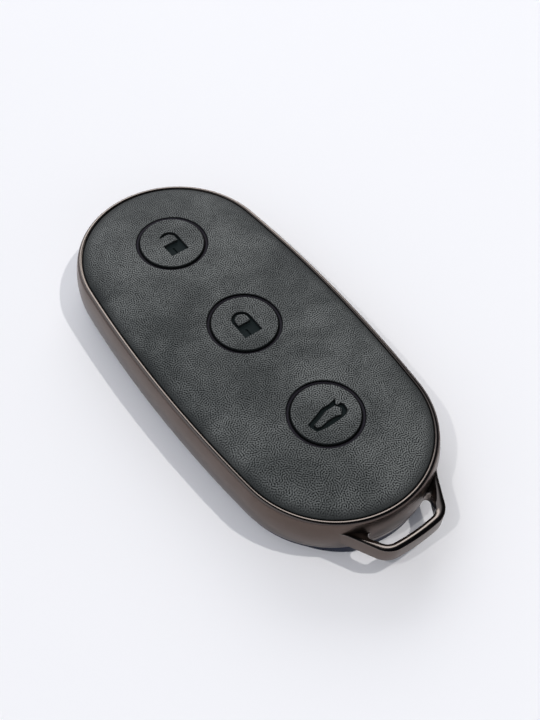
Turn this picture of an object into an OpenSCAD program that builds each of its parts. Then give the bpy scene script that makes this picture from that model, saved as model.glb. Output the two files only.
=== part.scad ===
// Cover for a pill-shaped car key fob: a leather-faced metal front half with
// three press keys and a key loop, clipped on to a moulded rear half.
// Millimetres. The origin is the middle of the flat back, +Z is up through the
// face and the key loop is at the -Y end.

/* [Outline] */
// Width over the widest line of the metal frame
body_w = 43; // [41:0.5:47]
// Length over the widest line of the frame, without the key loop
body_l = 89.8; // [86:0.2:98]
// How far each long side bows out beyond the end arcs
side_bow = 1.25; // [0.9:0.05:1.8]

/* [Frame] */
// Height of the polished rim above the resting plane
rim_z = 11.2; // [10.8:0.1:13]
// Height of the frame's lower edge above the resting plane
frame_z = 2.4; // [2.2:0.1:2.8]
// Height of the widest line of the bulged wall
belly_z = 6.8; // [6.4:0.1:7.4]
// Radius of the bulge in the wall's section
belly_r = 10.8; // [9:0.2:16]
// Thickness of the wall at its widest line
wall_t = 2.2; // [2:0.05:2.5]
// Distance from the widest line in to the rim's inner face
rim_inset = 1.2; // [1.15:0.05:1.35]
// Radius of the rounded shoulder outside the rim
shoulder_r = 0.4; // [0.2:0.05:0.45]
// Chamfer along the frame's lower edge
foot_chamfer = 0.35; // [0.2:0.05:0.5]
// Half width of the notch that takes the rear half's end tongue
notch_half_w = 8.5; // [6:0.25:9]
// Height of the end tongue, measured up from the lower edge
tongue_h = 2.45; // [1.8:0.05:2.8]

/* [Key loop] */
// How far the loop stands out beyond the frame's end
loop_reach = 4.9; // [4.6:0.05:8]
// Thickness of the loop's strap, seen from above
strap_t = 1.6; // [1.2:0.05:1.8]
// Height of the strap
strap_h = 3.55; // [3:0.05:4.4]
// Height of the strap's upper edge above the resting plane
strap_top_z = 8.9; // [8.4:0.1:9.4]
// Radius of the bowed front bar, on its outer face
bar_r = 42; // [30:1:60]
// Sideways place of each corner's centre
corner_x = 4; // [3.6:0.1:5]
// Outer radius of each corner
corner_r = 4.1; // [3:0.1:4.6]
// Lean of each arm away from the long axis, in degrees
arm_lean = 28.5; // [26:0.5:34]
// Radius of the flare that runs each arm into the wall
flare_r = 10; // [8:0.5:14]
// Fillet in the eye's two corners, where the arms meet the wall
eye_r = 0.8; // [0.4:0.1:1.2]

/* [Face] */
// Height of the face's flat middle above the rim
face_rise = 2.4; // [2:0.1:2.8]
// Height that the face's edge falls below its flat middle
crown_drop = 2.2; // [1.6:0.1:2.4]
// Half width of the face's level middle, at the ends
level_half_w = 2.8; // [2:0.1:4]
// Width of the dark gap between the leather and the rim
gap_w = 0.25; // [0.2:0.05:0.35]
// Thickness of the face leather
leather_t = 0.8; // [0.6:0.1:1]
// Width of the leather's edge that the adhesive leaves free
glue_inset = 0.5; // [0.3:0.05:0.6]
// Thickness of every adhesive film
glue_t = 0.1; // [0.05:0.05:0.15]
// Thickness of the moulded carrier under the face
carrier_t = 1; // [0.8:0.1:1.2]
// Thickness of the soft linings
liner_t = 0.5; // [0.3:0.1:0.6]

/* [Keys] */
// Distance from the far key's centre to the frame's far end
far_key_in = 18.6; // [17:0.1:20]
// Distance from the near key's centre to the frame's loop end
near_key_in = 21.7; // [19:0.1:23]
// Radius of the leather disc on each key
disc_r = 6.35; // [5.8:0.05:6.8]
// Width of the groove round each disc
groove_w = 0.8; // [0.6:0.05:1]
// Depth of the groove round each disc
groove_d = 0.5; // [0.45:0.05:0.6]
// Thickness of the leather disc
disc_t = 0.6; // [0.5:0.05:0.7]
// Travel of each key
key_travel = 0.5; // [0.3:0.05:0.6]
// Thickness of the silicone keypad sheet
sheet_t = 0.4; // [0.3:0.1:0.6]
// Size of the pictograms, as the side of the square that each one fits
icon_size = 5.9; // [4:0.1:6.4]
// Width of the thin lines in the pictograms
icon_line = 0.6; // [0.4:0.05:0.7]

/* [Rear half] */
// Inset of the rear cover's side from the frame's widest line
rear_inset = 1.3; // [1.2:0.05:1.6]
// Radius of the rear cover's lower edge
rear_edge_r = 0.7; // [0.4:0.05:0.9]
// Thickness of the rear cover's floor
rear_floor_t = 1; // [0.8:0.1:1.2]
// Thickness of the rear cover's upright wall
rear_wall_t = 1; // [0.8:0.05:1.2]
// Height of the upright wall above the seam
rear_wall_h = 4.2; // [3.4:0.1:4.5]
// Width of the rim left round the rear leather
rear_rim_w = 2; // [1.6:0.1:3]
// Thickness of the rear leather
rear_leather_t = 0.7; // [0.5:0.05:0.9]

/* [Fits] */
// Clearance between the two halves' walls
half_gap = 0.1; // [0.08:0.01:0.15]
// Clearance at the seam between the halves and beside the bead
seam_gap = 0.05; // [0.03:0.01:0.1]
// Running clearance of a key in its window
key_gap = 0.08; // [0.05:0.01:0.1]
// Clearance round parts that are laid or clipped in
lay_gap = 0.1; // [0.05:0.05:0.2]

/* [Hidden] */
$fn = 96;
// Segments of the large circles that make the long sides
side_fn = 1440;
// Segments of the large circles in the sections
crown_fn = 720;
// Overrun of every cut
over = 1;
// Stations along each stretch of the key loop
bar_steps = 6;
corner_steps = 8;
flare_steps = 6;
eye_steps = 6;

// The outline has four arcs: one at each end and one along each side.
end_r = body_w / 2 - side_bow;
end_y = body_l / 2 - end_r;
side_r = (pow(body_w / 2, 2) + pow(end_y, 2) - pow(end_r, 2)) / (2 * side_bow);
side_x = side_r - body_w / 2;
side_a = atan(end_y / side_x);

// The face: a circle in the section that is level at the flat middle.
face_inset = rim_inset + gap_w;
crown_run = end_r - face_inset - level_half_w;
flat_inset = face_inset + crown_run;
top_z = rim_z + face_rise;
crown_r = (pow(crown_run, 2) + pow(crown_drop, 2)) / (2 * crown_drop);
crown_z = top_z - crown_r;
carrier_top = leather_t + glue_t;
carrier_under = carrier_top + carrier_t;
foot_h = 0.4;
ledge_z = crown_height(carrier_under, crown_run) - foot_h;
foot_w = 1.75;

// The keys, from the top down.
far_key_y = body_l / 2 - far_key_in;
near_key_y = near_key_in - body_l / 2;
key_ys = [far_key_y, (far_key_y + near_key_y) / 2, near_key_y];
window_r = disc_r + groove_w;
key_r = window_r - key_gap;
cap_top_z = top_z - groove_d;
cap_floor_z = top_z - disc_t - glue_t;
stop_z = top_z - carrier_under;
flange_w = 1;
flange_t = 0.4;
flange_z = stop_z - seam_gap - flange_t;
sheet_rest = 0.15;
sheet_z = flange_z - key_travel - sheet_rest;
nib_r = 2;
nib_proud = 0.2;
nib_gap = 0.4;
slot_d = 0.3;
boss_wall = 1.3;
boss_r = key_r + flange_w + lay_gap + boss_wall;
dome_t = 0.45;
dome_foot_r = 6.4;
dome_top_r = 5.2;
dome_gap = 0.03;

// The halves' clips: tabs on the carrier and on the rear half snap into grooves.
tab_w = 8;
tab_t = 0.85;
tab_slot = 0.35;
nose = 0.25;
nose_h = 0.6;
groove_gap = 0.08;
tab_y_shares = [-0.19, 0, 0.19];
tab_ys = body_l * tab_y_shares;
carrier_tab_h = 1.7;
carrier_tab_y_shares = [-0.29, -0.1, 0.1, 0.29];
carrier_tab_ys = body_l * carrier_tab_y_shares;
carrier_nose_z = ledge_z - carrier_tab_h;
rear_nose_z = 4.5;

// The rear half, from the seam down and up.
edge_share = 0.3;
seam_z = frame_z - seam_gap;
rear_z = 0.15;
rear_in = wall_t + half_gap;
rear_floor_z = rear_leather_t + glue_t + rear_floor_t;
rear_wall_in = rear_in + rear_wall_t;
recess_inset = rear_inset + rear_edge_r + rear_rim_w;
pad_t = 0.6;
pad_h = 3;
pad_l = 7.5;
pad_ys = [(tab_ys[0] + tab_ys[1]) / 2, (tab_ys[1] + tab_ys[2]) / 2];

// The key loop's strap, by the centre of each arc.
bar_y = -body_l / 2 - loop_reach + bar_r;
bar_a = asin(corner_x / (bar_r - corner_r));
corner_y = bar_y - (bar_r - corner_r) * cos(bar_a);
arm_a = 90 - arm_lean;
arm_start = [corner_x + corner_r * sin(arm_a), corner_y - corner_r * cos(arm_a)];
arm_dir = [sin(arm_lean), cos(arm_lean)];
arm_out = [cos(arm_lean), -sin(arm_lean)];
root_sink = 0.4;
root_r = end_r - root_sink;
flare_from = arm_start + flare_r * arm_out + [0, end_y];
arm_l = -flare_from * arm_dir
    - sqrt(pow(flare_from * arm_dir, 2) - flare_from * flare_from + pow(root_r + flare_r, 2));
flare_c = flare_from + arm_l * arm_dir - [0, end_y];
flare_a = atan2(flare_c[0], -(flare_c[1] + end_y));
// Each fillet of the eye touches the arm's inner face and the end of the wall.
eye_from = arm_start - (strap_t + eye_r) * arm_out + [0, end_y];
eye_l = -eye_from * arm_dir
    - sqrt(pow(eye_from * arm_dir, 2) - eye_from * eye_from + pow(end_r + eye_r, 2));
eye_c = eye_from + eye_l * arm_dir - [0, end_y];
eye_a = atan2(eye_c[0], -(eye_c[1] + end_y));

function crown_height(depth, run) = crown_z + sqrt(pow(crown_r - depth, 2) - pow(run, 2));
// Rounded, so that the end arcs and the side arcs meet without a step.
function belly_x(z) = round((sqrt(pow(belly_r, 2) - pow(z - belly_z, 2)) - belly_r) * 1000) / 1000;

// The outline in plan, drawn in from the widest line.
module oval(inset) {
    for (s = [-1, 1]) translate([0, s * end_y]) circle(r = end_r - inset);
    intersection() {
        translate([-side_x, 0]) circle(r = side_r - inset, $fn = side_fn);
        translate([side_x, 0]) circle(r = side_r - inset, $fn = side_fn);
        square([body_w, 2 * (end_y + (end_r - inset) * sin(side_a))], center = true);
    }
}

module plate(inset, z0, z1) {
    translate([0, 0, z0]) linear_extrude(z1 - z0) oval(inset);
}

module ring(outer, inner, z0, z1) {
    difference() {
        plate(outer, z0, z1);
        plate(inner, z0 - over, z1 + over);
    }
}

// The wedge of the plan that the two side arcs cover.
module waist() {
    w = body_w;
    t = (w + side_x) * tan(side_a);
    translate([0, 0, -top_z]) linear_extrude(3 * top_z)
        polygon([[0, end_y], [w, t], [w, -t], [0, -end_y], [-w, -t], [-w, t]]);
}

// A solid whose section follows the outline. The section is drawn from the
// middle of the arc out, and $r is where the widest line lies.
module form() {
    for (s = [-1, 1]) translate([0, s * end_y, 0]) let ($r = end_r) rotate_extrude() children();
    intersection() {
        translate([-side_x, 0, 0]) let ($r = side_r) rotate_extrude($fn = side_fn) children();
        translate([side_x, 0, 0]) let ($r = side_r) rotate_extrude($fn = side_fn) children();
        waist();
    }
}

// Everything under the crowned face, depth below it, out past the frame.
module under_face(depth) {
    form() {
        flat_x = $r - flat_inset;
        square([flat_x, top_z - depth]);
        intersection() {
            translate([flat_x, crown_z]) circle(r = crown_r - depth, $fn = crown_fn);
            translate([flat_x, 0]) square([flat_inset + over, top_z]);
        }
    }
}

// The outside of the metal frame: a bulged wall with a rounded shoulder.
module wall_form() {
    form() {
        shoulder_z = rim_z - shoulder_r;
        shoulder_x = $r + belly_x(shoulder_z) - shoulder_r;
        lower_z = frame_z + foot_chamfer;
        lower_x = $r + belly_x(lower_z) - foot_chamfer;
        intersection() {
            translate([$r - belly_r, belly_z]) circle(r = belly_r, $fn = crown_fn);
            translate([$r - 2 * wall_t, lower_z]) square([2 * wall_t + over, shoulder_z - lower_z]);
        }
        translate([shoulder_x, shoulder_z]) circle(r = shoulder_r);
        translate([0, frame_z]) square([lower_x, rim_z - frame_z]);
        polygon([[0, frame_z], [lower_x, frame_z], [lower_x + foot_chamfer, lower_z], [0, lower_z]]);
        translate([lower_x - over, shoulder_z]) square([shoulder_x - lower_x + over, shoulder_r]);
    }
}

// One station of the loop's path: the outer face's place and its outward angle.
function arc_path(centre, r, from, to, steps) = [
    for (i = [0:steps]) let (a = from + (to - from) * i / steps)
        [centre[0] + r * sin(a), centre[1] - r * cos(a), a]
];
bar_path = arc_path([0, bar_y], bar_r, 0, bar_a, bar_steps);
corner_path = arc_path([corner_x, corner_y], corner_r, bar_a, arm_a, corner_steps);
flare_path = [
    for (p = arc_path(flare_c, -flare_r, arm_a, flare_a, flare_steps)) [p[0], p[1], p[2]]
];
half_path = concat(bar_path, [for (i = [1:corner_steps]) corner_path[i]], flare_path);
// The inner face runs in from the outer one by the strap's thickness, turns
// round the eye's fillet and ends in the wall, as far in as the outer face.
inner_half = concat(
    [for (p = concat(bar_path, [for (i = [1:corner_steps]) corner_path[i]]))
        [p[0] - strap_t * sin(p[2]), p[1] + strap_t * cos(p[2])]],
    [for (i = [0:eye_steps]) let (a = arm_a + (180 + eye_a - arm_a) * i / eye_steps)
        [eye_c[0] + eye_r * sin(a), eye_c[1] - eye_r * cos(a)]],
    [root_r * [sin(eye_a), -cos(eye_a)] - [0, end_y]]
);
outer_half = [for (p = half_path) [p[0], p[1]]];

function mirrored(points) = [for (i = [len(points) - 1:-1:0]) [-points[i][0], points[i][1]]];
function without_first(points) = [for (i = [1:len(points) - 1]) points[i]];
function reversed(points) = [for (i = [len(points) - 1:-1:0]) points[i]];

// The key loop: a strap whose two ends are sunk into the wall.
module key_loop() {
    outer_path = concat(mirrored(without_first(outer_half)), outer_half);
    inner_path = concat(mirrored(without_first(inner_half)), inner_half);
    translate([0, 0, strap_top_z - strap_h]) linear_extrude(strap_h)
        polygon(concat(outer_path, reversed(inner_path)));
}

module at_keys() {
    for (y = key_ys) translate([0, y, 0]) children();
}

// The clips' noses run right round the wall, cut to the width of each tab.
module at_tabs(ys, w, z0, z1) {
    for (x = [-1, 1]) for (y = ys) translate([x * body_w / 4 - body_w / 4, y - w / 2, z0])
        cube([body_w / 2, w, z1 - z0]);
}

module front_frame() {
    color([0.46, 0.42, 0.39]) difference() {
        union() {
            wall_form();
            key_loop();
        }
        plate(wall_t, -over, top_z);
        plate(rim_inset, ledge_z, top_z);
        plate(wall_t - nose, carrier_nose_z - groove_gap, carrier_nose_z + nose_h + groove_gap);
        plate(wall_t - nose, rear_nose_z - groove_gap, rear_nose_z + nose_h + groove_gap);
        translate([-notch_half_w, -body_l / 2 - over, frame_z - over])
            cube([2 * notch_half_w, body_l / 2 - end_y + over, tongue_h + over]);
    }
}

module edge_bead() {
    color([0.03, 0.03, 0.03])
        ring(rim_inset + seam_gap, face_inset - seam_gap, ledge_z + foot_h, rim_z - gap_w);
}

module face_leather() {
    color([0.27, 0.28, 0.28]) difference() {
        intersection() {
            under_face(0);
            plate(face_inset, ledge_z, top_z + over);
        }
        under_face(leather_t);
        at_keys() cylinder(r = window_r, h = top_z + over);
    }
}

module face_adhesive() {
    color([0.75, 0.73, 0.66]) difference() {
        intersection() {
            under_face(leather_t);
            plate(face_inset + glue_inset, ledge_z, top_z);
        }
        under_face(carrier_top);
        at_keys() cylinder(r = window_r + glue_inset, h = top_z + over);
    }
}

// The carrier: a crowned shell with a foot that stands on the frame's ledge,
// a collar under each key and tabs that clip into the frame.
module front_carrier() {
    color([0.09, 0.09, 0.1]) difference() {
        union() {
            difference() {
                intersection() {
                    under_face(carrier_top);
                    plate(face_inset, ledge_z, top_z);
                }
                intersection() {
                    under_face(carrier_under);
                    plate(face_inset + foot_w, -over, top_z);
                }
            }
            at_keys() translate([0, 0, sheet_z])
                cylinder(r = boss_r, h = top_z - carrier_under + glue_t - sheet_z);
            intersection() {
                ring(wall_t + lay_gap, wall_t + lay_gap + tab_t, carrier_nose_z, ledge_z + glue_t);
                at_tabs(carrier_tab_ys, tab_w, carrier_nose_z, ledge_z + over);
            }
            intersection() {
                ring(wall_t - nose + lay_gap, wall_t + lay_gap + tab_t / 2,
                    carrier_nose_z, carrier_nose_z + nose_h);
                at_tabs(carrier_tab_ys, tab_w, carrier_nose_z, ledge_z);
            }
        }
        at_keys() cylinder(r = window_r - glue_t / 2, h = top_z + over);
        at_keys() cylinder(r = key_r + flange_w + lay_gap, h = stop_z);
    }
}

module strip(r, z0, z1) {
    for (y = [key_ys[0], key_ys[2]]) translate([0, y, z0]) cylinder(r = r, h = z1 - z0);
    translate([-r, key_ys[2], z0]) cube([2 * r, key_ys[0] - key_ys[2], z1 - z0]);
}

module front_liner() {
    color([0.2, 0.2, 0.22]) difference() {
        intersection() {
            under_face(carrier_under);
            plate(face_inset + foot_w + lay_gap, ledge_z, top_z);
        }
        under_face(carrier_under + liner_t);
        strip(boss_r + lay_gap, 0, top_z);
    }
}

module keypad_sheet() {
    color([0.12, 0.12, 0.12]) difference() {
        strip(boss_r, sheet_z - sheet_t, sheet_z);
        at_keys() cylinder(r = nib_r + nib_gap, h = top_z);
    }
}

// Silicone dome under a key: a thin cone that folds down as the key is pressed.
module return_dome() {
    h = flange_z - dome_gap - sheet_z;
    color([0.2, 0.2, 0.2]) translate([0, 0, sheet_z]) rotate_extrude()
        polygon([[dome_foot_r - dome_t, 0], [dome_foot_r, 0], [dome_top_r, h], [dome_top_r - dome_t, h]]);
}

// The pictograms, upright when read with the loop towards the reader.
body_share = [0.66, 0.52];
lock_drop_share = 0.51;
shackle_share = 0.33;
open_share = 0.36;
slot_share = [0.065, 0.26];
slot_place_shares = [-0.095, -0.42];
car_l_share = 1.32;
car_shares = [
    [-0.52, -0.01], [-0.24, 0.08], [-0.02, 0.16], [0.22, 0.16], [0.42, 0.2], [0.335, 0.08],
    [0.35, 0.03], [0.46, 0.04], [0.5, -0.05], [0.47, -0.2], [0.37, -0.28], [0.15, -0.31],
    [-0.17, -0.32], [-0.35, -0.3], [-0.48, -0.27], [-0.53, -0.08]
];
cabin_shares = [
    [-0.42, -0.09], [-0.23, -0.045], [0.005, 0.05], [0.3, 0.055], [0.38, -0.1],
    [0.265, -0.225], [0.14, -0.185], [-0.08, -0.18], [-0.29, -0.22], [-0.405, -0.2]
];

module lock_body() {
    translate([-icon_size * body_share[0] / 2, -icon_size * lock_drop_share])
        square(icon_size * body_share);
}

module keyhole() {
    translate(icon_size * slot_place_shares) square(icon_size * slot_share);
}

// A shackle whose left leg is cut off at the height cut above the body.
module shackle(cut) {
    r = icon_size * shackle_share;
    base = -icon_size * (lock_drop_share - body_share[1]);
    rise = icon_size * (1 - lock_drop_share) - r;
    difference() {
        union() {
            translate([0, rise]) circle(r = r);
            translate([-r, base]) square([2 * r, rise - base]);
        }
        translate([0, rise]) circle(r = r - icon_line);
        translate([icon_line - r, base]) square([2 * (r - icon_line), rise - base]);
        if (cut > 0) translate([-r - over, base]) square([r + over, cut]);
    }
}

module lock_icon() {
    lock_body();
    shackle(0);
}

module unlock_icon() {
    lock_body();
    shackle(icon_size * open_share);
}

module tailgate_icon() {
    difference() {
        polygon(icon_size * car_l_share * car_shares);
        polygon(icon_size * car_l_share * cabin_shares);
    }
}

// A pressed key: its flange is held under the carrier, its cup takes the disc
// and its nib reaches down to the fob's own button.
module key_cap(y) {
    difference() {
        translate([0, y, 0]) union() {
            translate([0, 0, flange_z]) cylinder(r = key_r, h = cap_top_z - flange_z);
            translate([0, 0, flange_z]) cylinder(r = key_r + flange_w, h = flange_t);
            translate([0, 0, sheet_z - sheet_t - nib_proud])
                cylinder(r = nib_r, h = flange_z - sheet_z + sheet_t + nib_proud + flange_t);
        }
        translate([0, y, cap_floor_z]) cylinder(r = disc_r + groove_w / 10, h = over);
        translate([0, y, cap_floor_z - slot_d]) linear_extrude(slot_d + over) children();
    }
}
module unlock_cap() { color([0.1, 0.11, 0.12]) key_cap(key_ys[0]) keyhole(); }
module lock_cap() { color([0.1, 0.11, 0.12]) key_cap(key_ys[1]) keyhole(); }
module tailgate_cap() { color([0.1, 0.11, 0.12]) key_cap(key_ys[2]); }

module unlock_dome() { translate([0, key_ys[0], 0]) return_dome(); }
module lock_dome() { translate([0, key_ys[1], 0]) return_dome(); }
module tailgate_dome() { translate([0, key_ys[2], 0]) return_dome(); }

// A round film or leather disc with the pictogram cut through it.
module cut_disc(y, r, z, t) {
    difference() {
        translate([0, y, z]) cylinder(r = r, h = t);
        translate([0, y, z - over]) linear_extrude(t + 2 * over) children();
    }
}

module unlock_adhesive() {
    color([0.75, 0.73, 0.66]) cut_disc(key_ys[0], disc_r - lay_gap, cap_floor_z, glue_t) unlock_icon();
}

module lock_adhesive() {
    color([0.75, 0.73, 0.66]) cut_disc(key_ys[1], disc_r - lay_gap, cap_floor_z, glue_t) lock_icon();
}

module tailgate_adhesive() {
    color([0.75, 0.73, 0.66]) cut_disc(key_ys[2], disc_r - lay_gap, cap_floor_z, glue_t) tailgate_icon();
}

module unlock_disc() {
    color([0.3, 0.31, 0.31]) cut_disc(key_ys[0], disc_r, cap_floor_z + glue_t, disc_t) unlock_icon();
}

module lock_disc() {
    color([0.3, 0.31, 0.31]) cut_disc(key_ys[1], disc_r, cap_floor_z + glue_t, disc_t) lock_icon();
}

module tailgate_disc() {
    color([0.3, 0.31, 0.31]) cut_disc(key_ys[2], disc_r, cap_floor_z + glue_t, disc_t) tailgate_icon();
}

// The rear cover: a rounded base that carries the frame, and an upright wall
// inside it, slotted for the snap tabs.
module rear_cover() {
    color([0.07, 0.08, 0.11]) difference() {
        union() {
            form() let (x = $r - rear_inset) polygon([
                [0, rear_z], [x - rear_edge_r, rear_z],
                [x - rear_edge_r * edge_share, rear_z + rear_edge_r * edge_share],
                [x, rear_z + rear_edge_r], [x, seam_z], [0, seam_z]
            ]);
            plate(rear_in, rear_z + rear_edge_r, seam_z + rear_wall_h);
        }
        plate(rear_wall_in, rear_floor_z, top_z);
        plate(recess_inset, -over, rear_leather_t + glue_t);
        at_tabs(tab_ys, tab_w + 2 * tab_slot, seam_z, top_z);
    }
}

// The rear half's snap tabs, which bend in as the halves part.
module snap_tabs() {
    nose_in = wall_t - nose + half_gap;
    color([0.1, 0.11, 0.14]) intersection() {
        union() {
            ring(rear_in + lay_gap, rear_in + lay_gap + tab_t, seam_z, seam_z + rear_wall_h);
            ring(nose_in, rear_in + lay_gap + tab_t / 2, rear_nose_z, rear_nose_z + nose_h);
        }
        at_tabs(tab_ys, tab_w, seam_z, top_z);
    }
}

// The metal tongue of the rear half that closes the frame's notch.
module end_tongue() {
    color([0.46, 0.42, 0.39]) difference() {
        intersection() {
            wall_form();
            translate([-notch_half_w + seam_gap, -body_l / 2 - over, frame_z])
                cube([2 * (notch_half_w - seam_gap), body_l / 2 - end_y, tongue_h - seam_gap]);
        }
        plate(rear_in, -over, top_z);
    }
}

module rear_liner() {
    color([0.2, 0.2, 0.22]) plate(rear_wall_in + lay_gap, rear_floor_z, rear_floor_z + liner_t);
}

module side_pads() {
    color([0.16, 0.16, 0.18]) intersection() {
        ring(rear_wall_in, rear_wall_in + pad_t, rear_floor_z + liner_t, rear_floor_z + liner_t + pad_h);
        at_tabs(pad_ys, pad_l, 0, top_z);
    }
}

module rear_adhesive() {
    color([0.75, 0.73, 0.66]) plate(recess_inset + glue_inset, rear_leather_t, rear_leather_t + glue_t);
}

module rear_leather() {
    color([0.25, 0.26, 0.26]) plate(recess_inset + lay_gap, 0, rear_leather_t);
}

front_frame();
edge_bead();
face_leather();
face_adhesive();
front_carrier();
front_liner();
keypad_sheet();
unlock_dome();
lock_dome();
tailgate_dome();
unlock_cap();
lock_cap();
tailgate_cap();
unlock_adhesive();
lock_adhesive();
tailgate_adhesive();
unlock_disc();
lock_disc();
tailgate_disc();
rear_cover();
snap_tabs();
end_tongue();
rear_liner();
side_pads();
rear_adhesive();
rear_leather();
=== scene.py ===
import math
import bpy
import bmesh
import numpy as np
from mathutils import Matrix, Vector, geometry


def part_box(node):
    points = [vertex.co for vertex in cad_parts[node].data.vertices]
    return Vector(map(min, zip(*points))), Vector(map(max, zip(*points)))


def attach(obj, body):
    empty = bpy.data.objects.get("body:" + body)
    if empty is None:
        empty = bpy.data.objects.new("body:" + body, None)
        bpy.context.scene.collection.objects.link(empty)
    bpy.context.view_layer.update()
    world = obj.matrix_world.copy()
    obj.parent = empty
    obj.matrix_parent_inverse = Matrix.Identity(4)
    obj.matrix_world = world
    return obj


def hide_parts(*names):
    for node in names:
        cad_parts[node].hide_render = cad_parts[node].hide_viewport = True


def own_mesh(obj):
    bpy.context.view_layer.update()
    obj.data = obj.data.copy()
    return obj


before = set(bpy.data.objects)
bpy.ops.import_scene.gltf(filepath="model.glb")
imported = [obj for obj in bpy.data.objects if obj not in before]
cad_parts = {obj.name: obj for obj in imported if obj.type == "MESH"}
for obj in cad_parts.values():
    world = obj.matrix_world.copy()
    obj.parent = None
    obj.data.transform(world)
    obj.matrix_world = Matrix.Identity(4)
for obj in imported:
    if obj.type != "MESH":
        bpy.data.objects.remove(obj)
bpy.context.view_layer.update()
scene = bpy.context.scene
mm = 0.001

outline = {  # the cover's plan, in millimetres as all sizes below: two end arcs and two side arcs
    "endRadius": 20.25, "endY": 24.65, "sideRadius": 263.924, "sideX": 242.424,
    "sideCount": 36, "endCount": 100,
}
crown = {  # the section of the leather face
    "top": 13.6, "radius": 59.2818, "level": 17.45,
}
lean = math.atan(outline["endY"] / outline["sideX"])


def outlineAngles():
    # direction of the outline's normal, once round: right side, far end, left side, loop end
    turns = [(-lean, lean, outline["sideCount"]), (lean, math.pi - lean, outline["endCount"]),
             (math.pi - lean, math.pi + lean, outline["sideCount"]),
             (math.pi + lean, 2 * math.pi - lean, outline["endCount"])]
    return np.concatenate([np.linspace(a, b, n, endpoint=False) for a, b, n in turns])


def outlineArcs(angle):
    # arc centre and radius that belong to each direction of the normal
    c, s = np.cos(angle), np.sin(angle)
    side = np.abs(s) < math.sin(lean) - 1e-9
    x = np.where(side, -np.sign(c) * outline["sideX"], 0.0)
    y = np.where(side, 0.0, np.sign(s) * outline["endY"])
    return x, y, np.where(side, outline["sideRadius"], outline["endRadius"])


def insetAt(x, y):
    # distance in from the widest line: arc radius less distance from the arc's centre
    end = (np.abs(y) - outline["endY"]) > np.abs(x) * math.tan(lean)
    side = np.where(x < 0, 1.0, -1.0) * outline["sideX"]
    return np.where(end, outline["endRadius"] - np.hypot(x, np.abs(y) - outline["endY"]),
                    outline["sideRadius"] - np.hypot(x - side, y))


def crownAt(x, y, depth=0.0):
    # height of the crowned face: a circle of the section that is level further in than "level"
    run = np.clip(crown["level"] - insetAt(x, y), 0, None)
    return crown["top"] - crown["radius"] + np.sqrt((crown["radius"] - depth) ** 2 - run ** 2)


def arcPoints(x, y, radius, start, stop, count):
    # points of a circle from one direction to another, in degrees
    a = np.radians(np.linspace(start, stop, count))
    return np.stack([x + radius * np.cos(a), y + radius * np.sin(a)], 1)


def roundSweep(section, angle):
    # each section point (out, up) stands at arc centre + (arc radius + out) * normal, at height up
    x, y, radius = (v[:, None] for v in outlineArcs(angle))
    out, up = section[..., 0], section[..., 1]
    reach = radius + out
    px = x + reach * np.cos(angle)[:, None]
    py = y + reach * np.sin(angle)[:, None]
    return np.stack([px, py, np.broadcast_to(up, px.shape)], -1)


def gridFaces(rows, columns, closeRows=False, closeColumns=False):
    # quads of a grid of points; a closed direction joins its last line to its first
    r = np.arange(rows if closeRows else rows - 1)[:, None]
    c = np.arange(columns if closeColumns else columns - 1)[None, :]
    r2, c2 = (r + 1) % rows, (c + 1) % columns
    quad = [r * columns + c, r2 * columns + c, r2 * columns + c2, r * columns + c2]
    return np.stack(np.broadcast_arrays(*quad), -1).reshape(-1, 4)


def cappedFaces(rows, columns, turned=False):
    # quads of a closed section along an open sweep, with one face over each end; the quads can be turned over
    faces = [list(face[::-1] if turned else face) for face in gridFaces(rows, columns, False, True)]
    return faces + [list(range(columns)), list(range((rows - 1) * columns, rows * columns))[::-1]]


def joinParts(parts):
    # the points and faces of several parts as one, each part's faces counted on from the points before it
    first = np.cumsum([0] + [len(points) for points, _ in parts])
    faces = [[v + start for v in face] for (_, own), start in zip(parts, first) for face in own]
    return np.concatenate([points for points, _ in parts]), faces


def newPiece(name, points, faces, body, material, slot, replaces=()):
    # a mesh from points in millimetres and faces, on its body, with its material, in place of the CAD solids that it
    # stands for; the slot argument is not used
    mesh = bpy.data.meshes.new(name)
    places = (np.asarray(points, float).reshape(-1, 3) * mm).tolist()
    mesh.from_pydata(places, [], [list(map(int, face)) for face in faces])
    mesh.validate()
    piece = bpy.data.objects.new(name, mesh)
    scene.collection.objects.link(piece)
    shadeSoft(mesh, 35)
    mesh.materials.append(material)
    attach(piece, body)
    if replaces:
        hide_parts(*replaces)
    return piece


def addPolish(piece, polish, count):
    # the shader reads "polish": one value per section point, the same all along the sweep
    layer = piece.data.attributes.new("polish", "FLOAT", "POINT")
    layer.data.foreach_set("value", np.tile(polish, count))


def shadeSoft(mesh, sharp):
    # smooth shading, with edges over the angle "sharp" (degrees) kept sharp
    mesh.polygons.foreach_set("use_smooth", np.ones(len(mesh.polygons), bool))
    mesh.set_sharp_from_angle(angle=math.radians(sharp))
    mesh.update()


def mergeMesh(mesh, distance=2e-6, sharp=35, outward=True):
    # points closer than the distance (metres) become one, and the shading is set again; a closed mesh also has its
    # normals turned outward
    bm = bmesh.new()
    bm.from_mesh(mesh)
    bmesh.ops.remove_doubles(bm, verts=bm.verts, dist=distance)
    if outward:
        bmesh.ops.recalc_face_normals(bm, faces=bm.faces)
    bm.to_mesh(mesh)
    bm.free()
    shadeSoft(mesh, sharp)


def newGroup(name, inputs, outputs):
    # a shader node group with sockets (name, kind, value) in and (name, kind) out
    group = bpy.data.node_groups.new(name, "ShaderNodeTree")
    for label, kind, value in inputs:
        socket = group.interface.new_socket(name=label, in_out="INPUT", socket_type=kind)
        if value is not None:
            socket.default_value = value
    for label, kind in outputs:
        group.interface.new_socket(name=label, in_out="OUTPUT", socket_type=kind)
    return group, group.nodes.new("NodeGroupInput"), group.nodes.new("NodeGroupOutput")


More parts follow.
